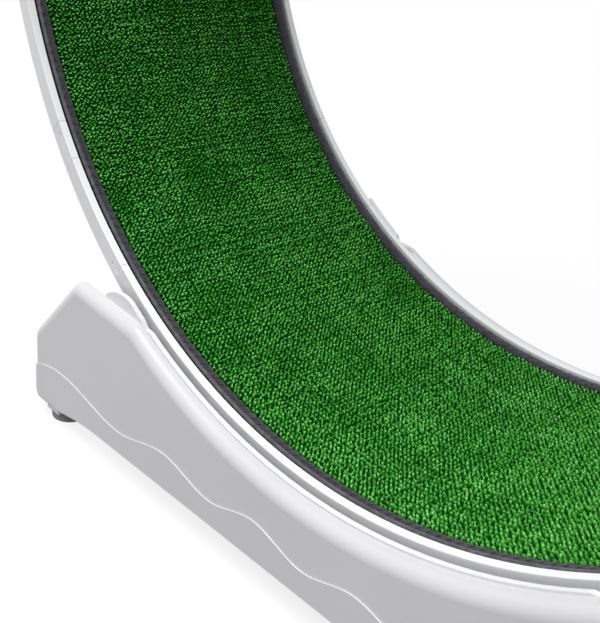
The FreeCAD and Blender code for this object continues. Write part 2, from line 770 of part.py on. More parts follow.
def make_liner(side):
    """The flat wall between a casing and the wheel, with a round cheek over each roller."""
    name = f"{side}_liner"
    raw = plate(name + "_raw", stand_outline(name + "_outline", "-shell_wall - 3 * fit_gap"),
                "liner_start", "liner_end")
    ends = rounded(name + "_ends", raw, "corner_round", corner_edges)
    cheeks = [rod(f"{name}_cheek_{i}", "cheek_radius", "liner_thickness", f"{sign}{side}_cheek_reach",
                  "-liner_end", drop(f"{side}_cheek_drop")) for i, sign in enumerate(("-", ""))]
    tools = [wheel_well(name + "_well", "liner_radius")]
    tools += arch_tools(name + "_arch", "shell_wall + 3 * fit_gap")
    for index, (x, z) in enumerate(boss_places()):
        tools.append(rod(f"{name}_drill_{index}", "casing_screw_radius + screw_gap", "liner_thickness + 2", x,
                         "-liner_end - 1", drop(z)))
        tools.append(rod(f"{name}_sink_{index}", "screw_head_radius + screw_gap",
                         "screw_head_height + screw_gap + 1", x,
                         "-liner_start - screw_head_height - screw_gap", drop(z)))
    for i, sign in enumerate(("-", "")):
        tools.append(rod(f"{name}_axle_{i}", "axle_radius + screw_gap", "liner_thickness + 2",
                         f"{sign}(axle_reach)", "-liner_end - 1", drop("axle_drop")))
        tools.append(block(f"{name}_foot_{i}",
                           ("foot_block_width + 6 * fit_gap", "liner_thickness + 2",
                            "foot_height + foot_block_height + 3 * fit_gap"),
                           f"{sign}(foot_reach) - foot_block_width / 2 - 3 * fit_gap", "-liner_end - 1", "0"))
        for j, (x, z) in enumerate(beam_bolt_places(sign)):
            tools.append(rod(f"{name}_bolt_{i}_{j}", "beam_bolt_radius + screw_gap", "liner_thickness + 2",
                             x, "-liner_end - 1", z))
    return cut(name, join(name + "_solid", [ends] + cheeks), tools)


def make_liners():
    keep("front_stand_liner", make_liner("front"))
    keep("rear_stand_liner", mirrored("rear_liner_turned", make_liner("rear"), (0, 1, 0)))


# ---- stand: cross beams, brackets, rollers ------------------------------------------

def beam_bolt_places(sign):
    middle = f"{sign}beam_middle" if sign == "-" else "beam_middle"
    if sign == "-":
        middle = "-(beam_middle)"
    return [(f"{middle} {shift} beam_bolt_reach", drop("beam_top_drop + beam_bolt_drop")) for shift in ("-", "+")]


def make_beams():
    for sign, name in (("-", "left"), ("", "right")):
        low = "-(beam_inner + beam_width)" if sign else "beam_inner"
        outer = block(name + "_beam_outer", ("beam_width", "2 * liner_start", "beam_height"),
                      low, "-liner_start", drop("beam_bottom_drop"))
        hollow = block(name + "_beam_hollow",
                       ("beam_width - 2 * beam_wall", "2 * (liner_start - beam_end)", "beam_height"),
                       f"{low} + beam_wall", "-liner_start + beam_end", drop("beam_bottom_drop + beam_wall"))
        drills = []
        for i, (x, z) in enumerate(beam_bolt_places(sign)):
            drills.append(rod(f"{name}_beam_bolt_hole_{i}", "beam_bolt_radius + screw_gap",
                              "2 * liner_start + 2", x, "-liner_start - 1", z))
        for i, (x, y) in enumerate(bracket_bolt_places(sign)):
            drills.append(rod(f"{name}_beam_bracket_hole_{i}", "casing_screw_radius + screw_gap",
                              "3 * beam_wall", x, y, drop("beam_top_drop + 2 * beam_wall"), "z"))
        keep(f"{name}_cross_beam", cut(name + "_beam", outer, [hollow] + drills))


def bracket_bolt_places(sign, sides=("-", "")):
    """Places of the bracket screws on a cross beam."""
    places = []
    for side in sides:
        y = f"{side}(bracket_start - bracket_foot / 2)"
        for shift in ("-", "+"):
            places.append((f"{sign}(axle_reach) {shift} bracket_bolt_offset", y))
    return places


def make_brackets():
    """A cheek plate that stands on the cross beam and holds the axle's inner end."""
    for sign, name in (("-", "left"), ("", "right")):
        middle = "-(axle_reach)" if sign else "axle_reach"
        base = "beam_top_drop"
        cheek = block(f"{name}_cheek_plate", ("2 * bracket_half_width", "bracket_thickness",
                                              "beam_top_drop - axle_drop"),
                      f"{middle} - bracket_half_width", "-bracket_end", drop(base))
        sides = []
        for k, shift in enumerate(("-", "+")):
            sides.append(block(f"{name}_cheek_side_{k}",
                               ("bracket_half_width - bracket_radius", "bracket_thickness + 2", "axle_drop"),
                               f"{middle} + bracket_radius" if shift == "+" else f"{middle} - bracket_half_width",
                               "-bracket_end - 1", drop(f"{base} - bracket_shoulder")))
        head = rod(f"{name}_cheek_head", "bracket_radius", "bracket_thickness", middle, "-bracket_end",
                   drop("axle_drop"))
        foot = block(f"{name}_cheek_foot",
                     ("2 * bracket_half_width", "bracket_foot + 1", "bracket_foot_thickness"),
                     f"{middle} - bracket_half_width", "-bracket_start", drop(base))
        gusset = block(f"{name}_cheek_gusset", ("gusset_thickness", "bracket_foot / 2", "gusset_height"),
                       f"{middle} - gusset_thickness / 2", "-bracket_start", drop(base))
        narrowed = cut(f"{name}_cheek_narrow", cheek, sides)
        drills = [rod(f"{name}_cheek_axle", "axle_radius + screw_gap", "bracket_thickness + 2", middle,
                      "-bracket_end - 1", drop("axle_drop"))]
        for i, (x, y) in enumerate(bracket_bolt_places(sign, ("-",))):
            drills.append(rod(f"{name}_cheek_hole_{i}", "casing_screw_radius + screw_gap",
                              "2 * bracket_foot_thickness", x, y, drop(f"{base} + 1"), "z"))
        solid = join(f"{name}_bracket_solid", [narrowed, head, foot, gusset])
        bracket = cut(f"{name}_bracket", solid, drills)
        keep(f"front_{name}_roller_bracket", bracket)
        keep(f"rear_{name}_roller_bracket", mirrored(f"rear_{name}_bracket", bracket, (0, 1, 0)))


def body_section(body, name, corners):
    """A sketch of depth and radius on a body's own upright plane."""
    plane = [item for item in body.Origin.OriginFeatures if item.Role == "YZ_Plane"][0]
    sketch = body.newObject("Sketcher::SketchObject", name)
    sketch.AttachmentSupport = [(plane, "")]
    sketch.MapMode = "FlatFace"
    return draw_polygon(sketch, corners)


def turned(name, corners, axis="H_Axis"):
    """A body turned about its own depth axis (H_Axis) or its upright axis (V_Axis)."""
    body = doc.addObject("PartDesign::Body", name)
    sketch = body_section(body, name + "_sketch", corners)
    solid = body.newObject("PartDesign::Revolution", name + "_turn")
    solid.Profile = sketch
    solid.ReferenceAxis = (sketch, [axis])
    solid.Angle = 360
    body.Tip = solid
    return body


def soften(body, radius, wanted):
    """Rounds a body's edges that a test picks."""
    doc.recompute()
    base = body.Tip
    names = [f"Edge{i}" for i, edge in enumerate(base.Shape.Edges, start=1) if wanted(edge)]
    fillet = body.newObject("PartDesign::Fillet", body.Name + "_round")
    fillet.Base = (base, names)
    fillet.setExpression("Radius", bound(radius))
    body.Tip = fillet
    return body


def outer_rims(radius):
    def wanted(edge):
        curve = edge.Curve
        return curve.TypeId == "Part::GeomCircle" and abs(curve.Radius - radius) < 0.01
    return wanted


def make_roller(name, x, y):
    """A roller: hub with two bearing seats, a soft tyre and two ball bearings."""
    half = "roller_width / 2"
    seat = f"{half} - bearing_width"
    bore = "bearing_radius + screw_gap"
    middle_bore = "bearing_radius - 2"
    hub = turned(name + "_hub", [(f"-({half})", bore), (f"-({half})", "hub_radius"), (half, "hub_radius"),
                                 (half, bore), (seat, bore), (seat, middle_bore),
                                 (f"-({seat})", middle_bore), (f"-({seat})", bore)])
    tyre = turned(name + "_tyre", [(f"-({half})", "hub_radius + screw_gap"), (half, "hub_radius + screw_gap"),
                                   (half, "roller_radius"), (f"-({half})", "roller_radius")])
    soften(tyre, "tyre_round", outer_rims(size("roller_radius")))
    rings = []
    for index, sign in ((1, "-"), (2, "")):
        low, high = (f"-({half})", f"-({seat} + screw_gap)") if sign else (f"{seat} + screw_gap", half)
        rings.append(turned(f"{name}_bearing_{index}", [
            (low, "axle_radius + axle_fit"), (high, "axle_radius + axle_fit"),
            (high, "bearing_radius"), (low, "bearing_radius")]))
    bearings = group(name + "_bearing_pair", rings)
    for suffix, part in (("hub", hub), ("tyre", tyre), ("bearings", bearings)):
        place(part, x, y, drop("axle_drop"))
        keep(f"{name}_{suffix}", part)


def make_rollers():
    pins = []
    spacers = []
    clips = []
    for side_sign, side_name in (("-", "front"), ("", "rear")):
        for end_sign, end_name in (("-", "left"), ("", "right")):
            name = f"{side_name}_{end_name}_roller"
            x = f"{end_sign}(axle_reach)"
            make_roller(name, x, f"{side_sign}(roller_middle)")

            def spans(start, end):
                return f"-({end})" if side_sign else f"{start}"
            z = drop("axle_drop")
            pin_start, pin_end = "bracket_start - 2 * clip_thickness", "liner_end + 2 * clip_thickness"
            pins.append(rod(name + "_pin", "axle_radius", f"{pin_end} - ({pin_start})", x,
                            spans(pin_start, pin_end), z))
            for index, (start, end) in enumerate((("bracket_end", "roller_start - fit_gap"),
                                                  ("roller_start + roller_width + fit_gap", "liner_start"))):
                sleeve = rod(f"{name}_sleeve_{index}", "spacer_radius", f"{end} - ({start})", x,
                             spans(start, end), z)
                bore = rod(f"{name}_sleeve_bore_{index}", "axle_radius + screw_gap", f"{end} - ({start}) + 2", x,
                           spans(f"{start} - 1", f"{end} + 1"), z)
                spacers.append(cut(f"{name}_spacer_{index}", sleeve, [bore]))
            for index, (start, end) in enumerate((("bracket_start - fit_gap - clip_thickness",
                                                   "bracket_start - fit_gap"),
                                                  ("liner_end + fit_gap", "liner_end + fit_gap + clip_thickness"))):
                washer = rod(f"{name}_washer_{index}", "clip_radius", "clip_thickness", x, spans(start, end), z)
                bore = rod(f"{name}_washer_bore_{index}", "axle_radius + screw_gap", "clip_thickness + 2", x,
                           spans(f"{start} - 1", f"{end} + 1"), z)
                clips.append(cut(f"{name}_clip_{index}", washer, [bore]))
    keep("axle_pins", group("roller_pins", pins))
    keep("axle_spacers", group("roller_spacers", spacers))
    keep("axle_clips", group("roller_clips", clips))


# ---- stand: feet and fasteners ------------------------------------------------------

def make_feet():
    recess = "foot_screw_recess"
    head = "foot_screw_head + 3 * screw_gap"
    screws = []
    for side_sign, side_name in (("-", "front"), ("", "rear")):
        for end_sign, end_name in (("-", "left"), ("", "right")):
            name = f"{side_name}_{end_name}"
            foot = turned(name + "_foot_body", [
                (head, "0"), ("foot_radius", "0"), ("foot_radius", "foot_height"),
                ("foot_screw_radius + screw_gap", "foot_height"), ("foot_screw_radius + screw_gap", recess),
                (head, recess)], "V_Axis")
            soften(foot, "foot_round", outer_rims(size("foot_radius")))
            x, y = f"{end_sign}(foot_reach)", f"{side_sign}foot_depth"
            keep(f"{name}_foot", place(foot, x, y))
            head_rod = rod(name + "_foot_screw_head", "foot_screw_head", "foot_screw_head_height", x, y,
                           f"{recess} - foot_screw_head_height", "z")
            shank = rod(name + "_foot_screw_shank", "foot_screw_radius", "foot_screw_shank", x, y, recess, "z")
            screws.append(join(name + "_foot_screw", [head_rod, shank]))
    keep("foot_screws", group("foot_screw_set", screws))


def make_fasteners():
    casing = []
    for index, (x, z) in enumerate(boss_places()):
        head = rod(f"casing_screw_head_{index}", "screw_head_radius", "screw_head_height", x,
                   "-liner_start - screw_head_height", drop(z))
        shank = rod(f"casing_screw_shank_{index}", "casing_screw_radius", "casing_screw_shank", x,
                    "-(casing_screw_tip)", drop(z))
        casing.append(join(f"casing_screw_{index}", [head, shank]))
    front = group("front_casing_screws", casing)
    rear = mirrored("rear_casing_screws", front, (0, 1, 0))
    keep("casing_screws", group("casing_screw_set", [front, rear]))
    bolts = []
    for sign, name in (("-", "left"), ("", "right")):
        for i, (x, z) in enumerate(beam_bolt_places(sign)):
            head = rod(f"{name}_bolt_head_{i}", "bolt_head_radius", "bolt_head_height", x,
                       "-liner_end - bolt_head_height", z)
            shank = rod(f"{name}_bolt_shank_{i}", "beam_bolt_radius",
                        "liner_thickness + beam_end + 1.5 * bolt_nut_height", x, "-liner_end", z)
            nut = rod(f"{name}_bolt_nut_{i}", "bolt_head_radius", "bolt_nut_height", x,
                      "-liner_start + beam_end", z)
            bolts.append(join(f"{name}_bolt_{i}", [head, shank, nut]))
    front_bolts = group("front_beam_bolts", bolts)
    rear_bolts = mirrored("rear_beam_bolts", front_bolts, (0, 1, 0))
    keep("beam_bolts", group("beam_bolt_set", [front_bolts, rear_bolts]))
    small = []
    for sign, name in (("-", "left"), ("", "right")):
        for i, (x, y) in enumerate(bracket_bolt_places(sign)):
            head = rod(f"{name}_bracket_screw_head_{i}", "2 * casing_screw_radius", "bracket_screw_head", x, y,
                       drop("beam_top_drop - bracket_foot_thickness"), "z")
            shank = rod(f"{name}_bracket_screw_shank_{i}", "casing_screw_radius",
                        "bracket_foot_thickness + 2 * beam_wall", x, y,
                        drop("beam_top_drop + 2 * beam_wall"), "z")
            small.append(join(f"{name}_bracket_screw_{i}", [head, shank]))
    keep("bracket_screws", group("bracket_screw_set", small))


make_mat()
make_panels()
make_rims()
make_casing()
make_liners()
make_beams()
make_brackets()
make_rollers()
make_feet()
make_fasteners()
doc.recompute()

failed = [item.Name for item in doc.Objects if "Invalid" in item.State or "Error" in item.State]
if failed:
    raise RuntimeError("failed objects: " + ", ".join(failed))
os.makedirs("parts", exist_ok=True)
for name, thing in PARTS.items():
    if thing.Shape.isNull() or not thing.Shape.isValid():
        raise RuntimeError("bad shape: " + name)
for name, thing in PARTS.items():
    thing.Shape.exportStep(os.path.join("parts", name + ".step"))
print(len(PARTS), "nodes")
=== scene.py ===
import json
import math

import bpy
import numpy as np
from mathutils import Matrix, Vector


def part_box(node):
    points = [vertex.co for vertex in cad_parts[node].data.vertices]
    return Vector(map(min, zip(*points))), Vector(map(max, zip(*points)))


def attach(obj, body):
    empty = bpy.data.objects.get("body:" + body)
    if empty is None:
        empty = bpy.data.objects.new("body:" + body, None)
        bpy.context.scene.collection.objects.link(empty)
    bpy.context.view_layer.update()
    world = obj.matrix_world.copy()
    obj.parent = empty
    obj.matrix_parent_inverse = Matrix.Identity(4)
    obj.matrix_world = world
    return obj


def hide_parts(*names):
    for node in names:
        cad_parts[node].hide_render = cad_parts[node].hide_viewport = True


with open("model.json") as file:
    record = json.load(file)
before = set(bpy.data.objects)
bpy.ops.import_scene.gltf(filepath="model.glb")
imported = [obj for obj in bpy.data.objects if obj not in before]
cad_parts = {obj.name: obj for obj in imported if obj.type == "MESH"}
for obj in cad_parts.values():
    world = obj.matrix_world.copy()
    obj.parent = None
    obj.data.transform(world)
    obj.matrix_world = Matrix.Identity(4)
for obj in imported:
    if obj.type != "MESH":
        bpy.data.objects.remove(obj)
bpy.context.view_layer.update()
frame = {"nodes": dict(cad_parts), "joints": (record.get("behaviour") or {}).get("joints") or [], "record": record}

# Sizes are in metres, in the model's own frame: X along the stand, Y from the front casing
# to the rear one along the wheel's axis, Z up from the floor.

AXIS = next(Vector(joint["pos_m"]) for joint in frame["joints"] if joint["name"] == "wheel_spin")
MAT_RADIUS = 0.440          # of the mat's inner face, where the pile ends
MAT_BACK = 0.447            # of its outer face, which lies on the track
MAT_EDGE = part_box("carpet_mat")[1][1]
BINDING_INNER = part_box("rear_binding_tape")[0][1]
BINDING_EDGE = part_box("rear_binding_tape")[1][1]
rng = np.random.default_rng(7)


# ---- camera and stage ---------------------------------------------------------------

PHOTO_WIDTH, PHOTO_HEIGHT = 600, 623
CAMERA_PLACE = Vector((0.4369, -0.5568, AXIS.z - 0.0558))
CAMERA_AIM = Vector((-0.7350, 0.5930, -0.3288))
CAMERA_FOCAL_PIXELS = 958.07
CAMERA_CENTRE = (272.88, 257.56)        # where the lens axis meets the picture, in pixels
SENSOR = 36.0                           # in millimetres

LAMP_PLACE, LAMP_AIM = Vector((0.2, -0.9, 2.6)), Vector((0, 0, 0.4))
LAMP_SIZE, LAMP_POWER = 2.0, 60

WORLD_LOW, WORLD_HIGH = 0.25, 1.0       # soft light from the walls and from overhead

FLOOR_REACH = 6.0
FLOOR_NEAR, FLOOR_FAR = 0.75, 1.5       # the floor turns pure white between these distances
FLOOR_GLOW = 0.82                       # how much of the near floor is plain white, not lit
FLOOR_LIT = 0.95                        # the lit share's tone, as the camera sees it
FLOOR_BOUNCE = 0.2                      # the tone that lights the object from below


def aimed(place, direction):
    """A placement that looks along a direction."""
    return Matrix.Translation(place) @ direction.to_track_quat("-Z", "Y").to_matrix().to_4x4()


def make_camera():
    data = bpy.data.cameras.new("photo_camera")
    camera = bpy.data.objects.new("photo_camera", data)
    bpy.context.scene.collection.objects.link(camera)
    data.sensor_width = SENSOR
    data.sensor_fit = "AUTO"
    data.lens = CAMERA_FOCAL_PIXELS * SENSOR / PHOTO_HEIGHT
    data.shift_x = (PHOTO_WIDTH / 2 - CAMERA_CENTRE[0]) / PHOTO_HEIGHT
    data.shift_y = (CAMERA_CENTRE[1] - PHOTO_HEIGHT / 2) / PHOTO_HEIGHT
    data.clip_start = 0.01
    camera.matrix_world = aimed(CAMERA_PLACE, CAMERA_AIM)
    bpy.context.scene.camera = camera


def make_lamp():
    """One broad disk lamp overhead, in front of the wheel."""
    data = bpy.data.lights.new("top_lamp", "AREA")
    data.shape = "DISK"
    data.size = LAMP_SIZE
    data.energy = LAMP_POWER
    lamp = bpy.data.objects.new("top_lamp", data)
    bpy.context.scene.collection.objects.link(lamp)
    lamp.matrix_world = aimed(LAMP_PLACE, LAMP_AIM - LAMP_PLACE)


def seen_ray(nodes, links):
    """1 for rays from the camera, from a mirror-like surface or through a clear one."""
    path = nodes.new("ShaderNodeLightPath")
    value = path.outputs["Is Camera Ray"]
    for ray in ("Is Glossy Ray", "Is Transmission Ray"):
        larger = nodes.new("ShaderNodeMath")
        larger.operation = "MAXIMUM"
        links.new(value, larger.inputs[0])
        links.new(path.outputs[ray], larger.inputs[1])
        value = larger.outputs[0]
    return value


def mixed(nodes, links, share, first, second):
    """The first shader, and the second one by its share."""
    mix = nodes.new("ShaderNodeMixShader")
    links.new(share, mix.inputs["Fac"])
    links.new(first.outputs[0], mix.inputs[1])
    links.new(second.outputs[0], mix.inputs[2])
    return mix


def make_world():
    """White where it is seen, and a softer light that fades downwards for everything else."""
    world = bpy.data.worlds.new("studio")
    bpy.context.scene.world = world
    world.use_nodes = True
    nodes, links = world.node_tree.nodes, world.node_tree.links
    nodes.clear()
    light = nodes.new("ShaderNodeBackground")
    light.inputs["Color"].default_value = (1, 1, 1, 1)
    direction = nodes.new("ShaderNodeSeparateXYZ")
    links.new(nodes.new("ShaderNodeTexCoord").outputs["Generated"], direction.inputs[0])
    links.new(span(nodes, links, direction.outputs["Z"], WORLD_LOW, WORLD_HIGH), light.inputs["Strength"])
    shown = nodes.new("ShaderNodeBackground")
    shown.inputs["Color"].default_value = (1, 1, 1, 1)
    shown.inputs["Strength"].default_value = 1.0
    mix = mixed(nodes, links, seen_ray(nodes, links), light, shown)
    links.new(mix.outputs[0], nodes.new("ShaderNodeOutputWorld").inputs["Surface"])


def make_floor():
    """A floor that keeps the shadow near the object and turns into the white background."""
    mesh = bpy.data.meshes.new("floor")
    corners = [(x * FLOOR_REACH, y * FLOOR_REACH, 0) for x, y in ((-1, -1), (1, -1), (1, 1), (-1, 1))]
    mesh.from_pydata(corners, [], [(0, 1, 2, 3)])
    floor = bpy.data.objects.new("floor", mesh)
    bpy.context.scene.collection.objects.link(floor)
    material, nodes, links = new_material("floor_white")
    bounce = nodes["Principled BSDF"]
    bounce.inputs["Base Color"].default_value = (FLOOR_BOUNCE, FLOOR_BOUNCE, FLOOR_BOUNCE, 1)
    bounce.inputs["Roughness"].default_value = 0.9
    lit = nodes.new("ShaderNodeBsdfDiffuse")
    lit.inputs["Color"].default_value = (FLOOR_LIT, FLOOR_LIT, FLOOR_LIT, 1)
    glow = nodes.new("ShaderNodeEmission")
    glow.inputs["Color"].default_value = (1, 1, 1, 1)
    glow.inputs["Strength"].default_value = 1.0
    distance = nodes.new("ShaderNodeVectorMath")
    distance.operation = "LENGTH"
    links.new(nodes.new("ShaderNodeTexCoord").outputs["Object"], distance.inputs[0])
    share = nodes.new("ShaderNodeMapRange")
    share.interpolation_type = "SMOOTHSTEP"
    share.inputs["From Min"].default_value = FLOOR_NEAR
    share.inputs["From Max"].default_value = FLOOR_FAR
    share.inputs["To Min"].default_value = FLOOR_GLOW
    share.inputs["To Max"].default_value = 1.0
    links.new(distance.outputs["Value"], share.inputs["Value"])
    shown = mixed(nodes, links, share.outputs["Result"], lit, glow)
    mix = mixed(nodes, links, seen_ray(nodes, links), bounce, shown)
    links.new(mix.outputs[0], nodes["Material Output"].inputs["Surface"])
    mesh.materials.append(material)


# ---- materials ----------------------------------------------------------------------

PLASTIC_SHADE = 0.97        # the darker of a moulded plastic's two tones
GLOSS_DRIFT = 0.06          # how far a moulded plastic's roughness wanders to either side
RUBBER_DRIFT = 0.1          # and a rubber's
DUST_GAIN, DUST = 1.25, 0.01    # how the dusty places of a rubber differ from its colour
STEEL = (0.62, 0.62, 0.63)
STEEL_SHADE = 0.8
# Ramps of a value from 0 to 1 and the colour there: over the pile's rise, with painted shade towards the root and
# a painted highlight at the tip, and over a noise.
PILE_SHADE_AND_HIGHLIGHT_STOPS = [(0.48, (0.001, 0.095, 0.001)), (0.76, (0.056, 0.345, 0.037)), (1.0, (0.250, 0.720, 0.185))]
BACKING_STOPS = [(0.3, (0.001, 0.060, 0.001)), (0.7, (0.001, 0.100, 0.001))]


def new_material(name):
    material = bpy.data.materials.new(name)
    material.use_nodes = True
    return material, material.node_tree.nodes, material.node_tree.links


def noise(nodes, links, scale, detail):
    texture = nodes.new("ShaderNodeTexNoise")
    texture.inputs["Scale"].default_value = scale
    texture.inputs["Detail"].default_value = detail
    links.new(nodes.new("ShaderNodeTexCoord").outputs["Object"], texture.inputs["Vector"])
    return texture.outputs["Fac"]


def ramp(nodes, links, value, stops):
    """A colour ramp from pairs of place and colour."""
    node = nodes.new("ShaderNodeValToRGB")
    while len(node.color_ramp.elements) < len(stops):
        node.color_ramp.elements.new(0.5)
    for element, (place, colour) in zip(node.color_ramp.elements, stops):
        element.position = place
        element.color = (*colour, 1)
    links.new(value, node.inputs["Fac"])
    return node.outputs["Color"]


def span(nodes, links, value, low, high):
    """A value from 0..1 mapped onto a range."""
    node = nodes.new("ShaderNodeMapRange")
    node.inputs["To Min"].default_value = low
    node.inputs["To Max"].default_value = high
    links.new(value, node.inputs["Value"])
    return node.outputs["Result"]


def bump(nodes, links, value, strength, distance):
    node = nodes.new("ShaderNodeBump")
    node.inputs["Strength"].default_value = strength
    node.inputs["Distance"].default_value = distance
    links.new(value, node.inputs["Height"])
    return node.outputs["Normal"]


def moulded_plastic(name, colour, rough, grain=900.0, grain_depth=0.00003):
    """Moulded plastic: fine grain, slow waviness in gloss and a faint drift of tone."""
    material, nodes, links = new_material(name)
    surface = nodes["Principled BSDF"]
    shaded = tuple(channel * PLASTIC_SHADE for channel in colour)
    tone = noise(nodes, links, scale=6.0, detail=2.0)
    links.new(ramp(nodes, links, tone, [(0.35, shaded), (0.65, colour)]), surface.inputs["Base Color"])
    wave = noise(nodes, links, scale=25.0, detail=4.0)
    links.new(span(nodes, links, wave, rough - GLOSS_DRIFT, rough + GLOSS_DRIFT), surface.inputs["Roughness"])
    grains = noise(nodes, links, scale=grain, detail=2.0)
    links.new(bump(nodes, links, grains, strength=0.35, distance=grain_depth), surface.inputs["Normal"])
    return material


def zinc_steel():
    material, nodes, links = new_material("zinc_steel")
    surface = nodes["Principled BSDF"]
    surface.inputs["Metallic"].default_value = 1.0
    shaded = tuple(channel * STEEL_SHADE for channel in STEEL)
    tone = noise(nodes, links, scale=60.0, detail=5.0)
    links.new(ramp(nodes, links, tone, [(0.3, shaded), (0.7, STEEL)]), surface.inputs["Base Color"])
    gloss = noise(nodes, links, scale=400.0, detail=3.0)
    links.new(span(nodes, links, gloss, low=0.28, high=0.5), surface.inputs["Roughness"])
    grains = noise(nodes, links, scale=1500.0, detail=2.0)
    links.new(bump(nodes, links, grains, strength=0.2, distance=0.00002), surface.inputs["Normal"])
    return material


def rubber(name, colour, rough=0.75):
    material, nodes, links = new_material(name)
    surface = nodes["Principled BSDF"]
    dusty = tuple(min(1, channel * DUST_GAIN + DUST) for channel in colour)
    tone = noise(nodes, links, scale=40.0, detail=6.0)
    links.new(ramp(nodes, links, tone, [(0.4, colour), (0.75, dusty)]), surface.inputs["Base Color"])
    gloss = noise(nodes, links, scale=300.0, detail=3.0)
    links.new(span(nodes, links, gloss, rough - RUBBER_DRIFT, rough + RUBBER_DRIFT),
              surface.inputs["Roughness"])
    grains = noise(nodes, links, scale=1200.0, detail=3.0)
    links.new(bump(nodes, links, grains, strength=0.5, distance=0.00006), surface.inputs["Normal"])
    return material


def wheel_radius(nodes, links):
    """The distance from the wheel's axis."""
    shift = nodes.new("ShaderNodeVectorMath")
    shift.operation = "SUBTRACT"
    shift.inputs[1].default_value = tuple(AXIS)
    flat = nodes.new("ShaderNodeVectorMath")
    flat.operation = "MULTIPLY"
    flat.inputs[1].default_value = (1, 0, 1)
    length = nodes.new("ShaderNodeVectorMath")
    length.operation = "LENGTH"
    links.new(nodes.new("ShaderNodeTexCoord").outputs["Object"], shift.inputs[0])
    links.new(shift.outputs[0], flat.inputs[0])
    links.new(flat.outputs[0], length.inputs[0])
    return length.outputs["Value"]


def pile_material():
    """Loop yarn: painted shade at the root and a painted highlight at the tip, with colour drifting from loop to
    loop.
    """
    material, nodes, links = new_material("green_loop_pile")
    surface = nodes["Principled BSDF"]
    rise = nodes.new("ShaderNodeMapRange")
    rise.inputs["From Min"].default_value = MAT_BACK
    rise.inputs["From Max"].default_value = MAT_RADIUS
    links.new(wheel_radius(nodes, links), rise.inputs["Value"])
    tinted = nodes.new("ShaderNodeVectorMath")
    tinted.operation = "SCALE"
    # painted shade and highlight: the yarn's colour darkens towards the mat's back and brightens at the loops'
    # tips
    links.new(ramp(nodes, links, rise.outputs["Result"], PILE_SHADE_AND_HIGHLIGHT_STOPS), tinted.inputs[0])
    tint = noise(nodes, links, scale=180.0, detail=2.0)
    links.new(span(nodes, links, tint, low=0.55, high=1.45), tinted.inputs["Scale"])
    links.new(tinted.outputs[0], surface.inputs["Base Color"])
    gloss = noise(nodes, links, scale=500.0, detail=2.0)
    links.new(span(nodes, links, gloss, low=0.6, high=0.85), surface.inputs["Roughness"])
    fibres = noise(nodes, links, scale=2500.0, detail=2.0)
    links.new(bump(nodes, links, fibres, strength=0.5, distance=0.0002), surface.inputs["Normal"])
    surface.inputs["Specular IOR Level"].default_value = 0.08
    surface.inputs["Sheen Weight"].default_value = 0.02
    surface.inputs["Sheen Roughness"].default_value = 0.4
    return material


def backing_material():
    material, nodes, links = new_material("green_backing")
    surface = nodes["Principled BSDF"]
    tone = noise(nodes, links, scale=700.0, detail=3.0)
    links.new(ramp(nodes, links, tone, BACKING_STOPS), surface.inputs["Base Color"])
    surface.inputs["Roughness"].default_value = 0.95
    surface.inputs["Specular IOR Level"].default_value = 0.1
    links.new(bump(nodes, links, tone, strength=0.6, distance=0.0003), surface.inputs["Normal"])
    return material


def tape_material(name, dark, light):
    """Woven tape: a fine diagonal weave over a mottled tone."""
    material, nodes, links = new_material(name)
    surface = nodes["Principled BSDF"]
    mottle = noise(nodes, links, scale=160.0, detail=3.0)
    links.new(ramp(nodes, links, mottle, [(0.35, dark), (0.7, light)]), surface.inputs["Base Color"])
    weave = nodes.new("ShaderNodeTexWave")
    weave.inputs["Scale"].default_value = 700.0
    weave.inputs["Distortion"].default_value = 1.0
    weave.bands_direction = "DIAGONAL"
    links.new(nodes.new("ShaderNodeTexCoord").outputs["Object"], weave.inputs["Vector"])
    links.new(bump(nodes, links, weave.outputs["Fac"], strength=0.6, distance=0.00015),
              surface.inputs["Normal"])
    surface.inputs["Roughness"].default_value = 0.8
    surface.inputs["Sheen Weight"].default_value = 0.2
    surface.inputs["Sheen Roughness"].default_value = 0.5
    return material


def dress(node, material):
    """Gives a carried-over node its material."""
    mesh = frame["nodes"][node].data
    mesh.materials.clear()
    mesh.materials.append(material)


def dress_frame():
    """Gives every node that the scene keeps the material of its slot, or its own."""
    nylon = moulded_plastic("natural_nylon", (0.66, 0.65, 0.60), 0.42, 300.0, 0.00006)
    by_slot = {
        "rim_plastic": moulded_plastic("white_rim", (0.87, 0.87, 0.895), 0.30),
        "stand_plastic": moulded_plastic("white_shell", (0.68, 0.672, 0.692), 0.34),
        "panel_plastic": moulded_plastic("white_panel", (0.80, 0.80, 0.81), 0.5, 500.0, 0.00008),
        "beam_plastic": moulded_plastic("beam_grey", (0.60, 0.60, 0.62), 0.5, 400.0, 0.00008),
        "bracket_plastic": moulded_plastic("bracket_grey", (0.50, 0.50, 0.52), 0.5, 400.0, 0.00008),
        "joiner_plastic": moulded_plastic("joiner_grey", (0.12, 0.12, 0.13), 0.5, 400.0, 0.00008),
        "spacer_plastic": nylon,
        "hub_plastic": nylon,
        "foot_rubber": rubber("foot_rubber", (0.235, 0.235, 0.24)),
        "roller_tyre": rubber("roller_tread", (0.16, 0.165, 0.175), 0.65),
        "steel": zinc_steel(),
    }
    for part in frame["record"]["subparts"]:
        if part["material_slot"] in by_slot:
            dress(part["node"], by_slot[part["material_slot"]])
    liner_white = moulded_plastic("white_liner", (0.80, 0.80, 0.82), 0.45, 500.0, 0.00006)
    for name in ("front_stand_liner", "rear_stand_liner"):
        dress(name, liner_white)


# ---- shapes on the wheel ------------------------------------------------------------

